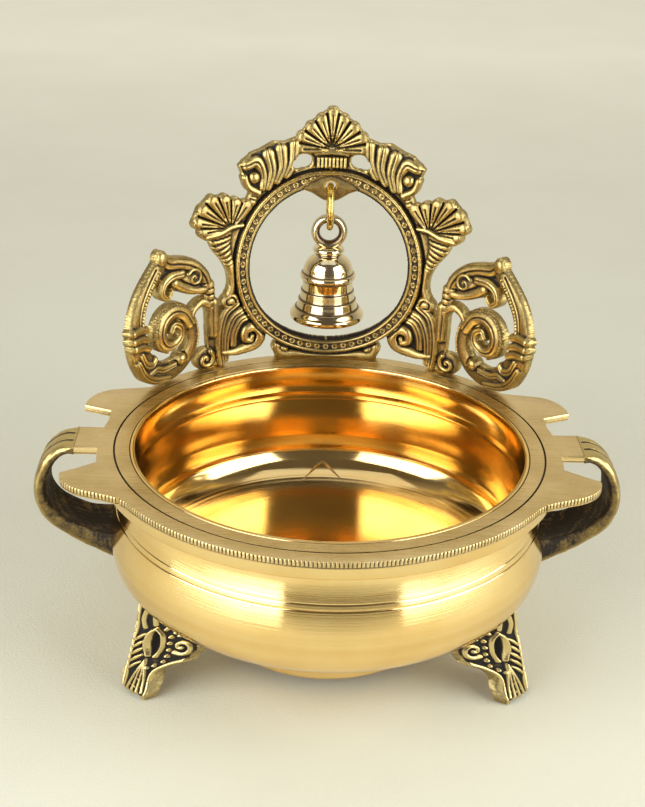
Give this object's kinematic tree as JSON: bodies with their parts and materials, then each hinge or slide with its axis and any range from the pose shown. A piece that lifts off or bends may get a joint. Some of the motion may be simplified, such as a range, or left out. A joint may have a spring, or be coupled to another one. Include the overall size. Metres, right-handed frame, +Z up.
{
  "type": "brass urli bowl",
  "caption": "Turned brass urli bowl on leaf feet, with strap handles, an eared rim plate and a cast openwork arch holding a swinging bell.",
  "frame": {"origin": "on the floor, midway between the front of the rim and the back of the bell, and midway between the handles", "axes": "+Z up, front of the bowl towards -Y, arch and bell towards +Y, +X to the right seen from the front"},
  "size_m": [0.2442, 0.2056, 0.208],
  "materials": {
    "polished_brass": "lathe-turned and buffed to a mirror, fine turning lines",
    "satin_brass": "satin, lightly scratched, milled edge",
    "antique_brass": "cast, antiqued: dark in the recesses, rubbed bright on the relief",
    "dark_brass": "cast, heavily darkened, bright only on the highest relief",
    "wire_brass": "drawn wire, plain and bright",
    "bell_brass": "turned and polished, pale"
  },
  "bodies": {
    "bowl_body": {"bowl": "polished_brass", "rim_flange": "satin_brass", "handle_left": "antique_brass", "handle_right": "antique_brass", "foot_front_left": "dark_brass", "foot_front_right": "dark_brass", "foot_rear": "dark_brass", "arch_frame": "antique_brass", "scroll_left": "antique_brass", "scroll_right": "antique_brass"},
    "ring_body": {"bell_ring": "wire_brass"},
    "bell_body": {"bell": "bell_brass", "clapper_staple": "wire_brass"},
    "clapper_body": {"clapper": "dark_brass"}
  },
  "joints": [
    {"name": "ring_swing", "type": "hinge", "parent": "bowl_body", "child": "ring_body", "pos_m": [0, 0.08585, 0.1734], "axis": [0, 1, 0], "range_deg": [-10, 10]},
    {"name": "bell_swing", "type": "hinge", "parent": "ring_body", "child": "bell_body", "pos_m": [0, 0.08585, 0.1639], "axis": [1, 0, 0], "range_deg": [-50, 50]},
    {"name": "clapper_swing", "type": "hinge", "parent": "bell_body", "child": "clapper_body", "pos_m": [0, 0.08585, 0.134], "axis": [0, 1, 0], "range_deg": [-20, 20]}
  ]
}
